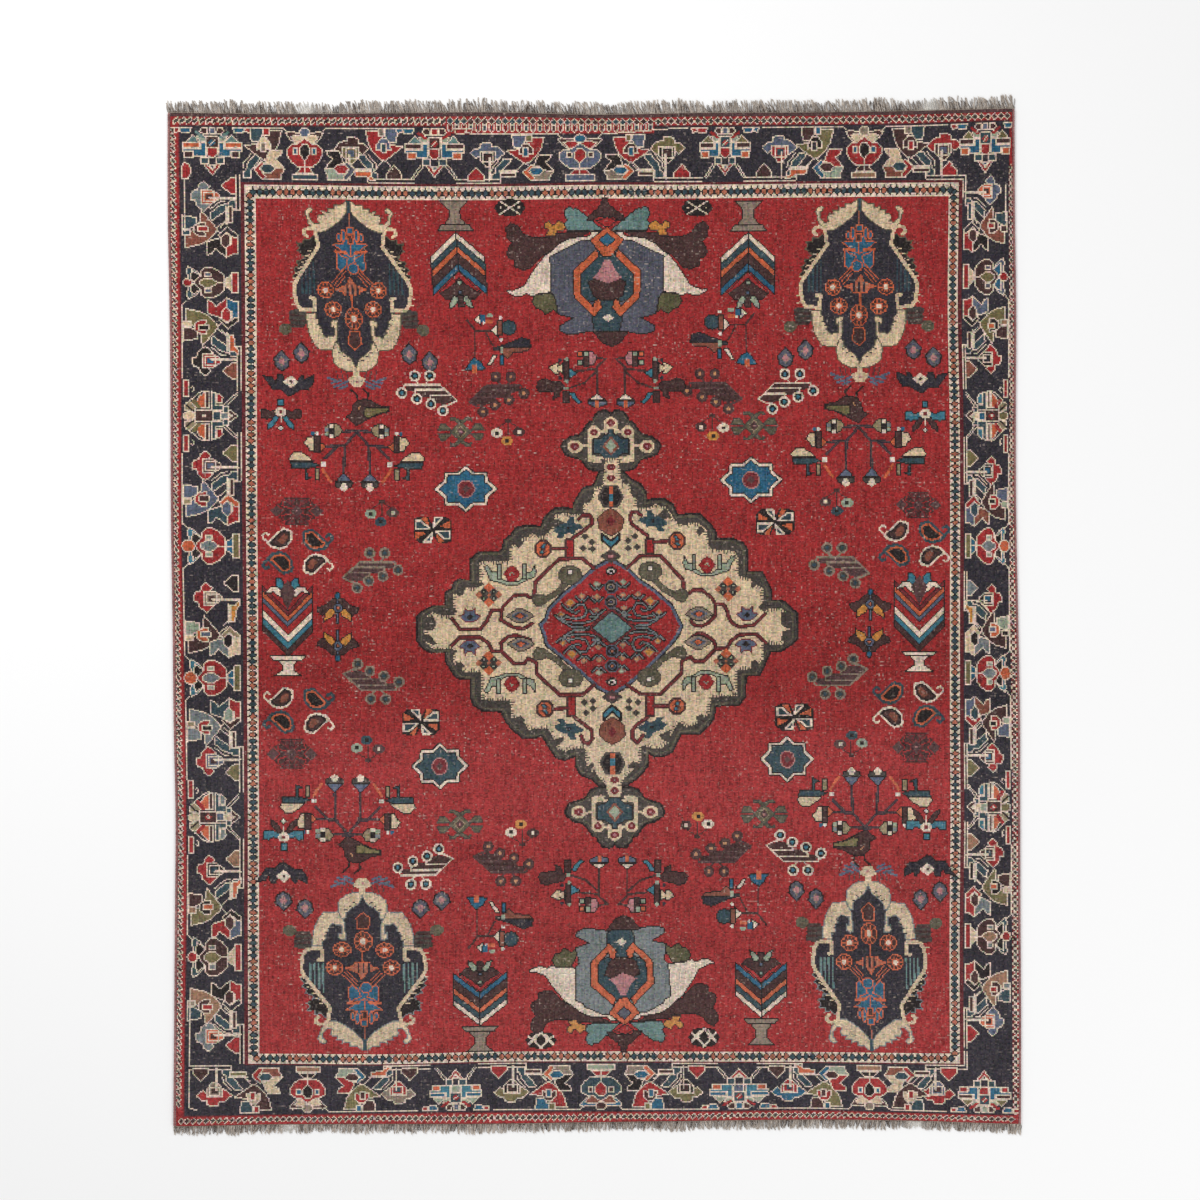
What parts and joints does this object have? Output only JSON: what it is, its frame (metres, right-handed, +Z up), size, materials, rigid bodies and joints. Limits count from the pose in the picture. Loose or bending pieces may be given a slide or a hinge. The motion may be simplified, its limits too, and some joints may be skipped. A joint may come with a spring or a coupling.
{
  "type": "oushak rug",
  "caption": "Hand-knotted wool area rug with a worn low pile, overcast side edges and a short warp fringe at both ends, lying flat.",
  "frame": {"origin": "middle of the footprint with its fringe, on the surface that the rug lies on", "axes": "+X across the rug to the right, +Y along the warps to the upper end, +Z up out of the pile"},
  "size_m": [1.9216, 2.3398, 0.0066],
  "materials": {
    "knotted_wool": "worn low wool pile, madder red field with a navy border and an ivory medallion",
    "overcast_wool": "close overcast wool yarn, faded rose",
    "warp_yarn": "twisted grey-brown and undyed wool warp ends"
  },
  "bodies": {
    "root": {"rug_pile": "knotted_wool", "selvedge_left": "overcast_wool", "selvedge_right": "overcast_wool", "fringe_upper": "warp_yarn", "fringe_lower": "warp_yarn"}
  },
  "joints": []
}
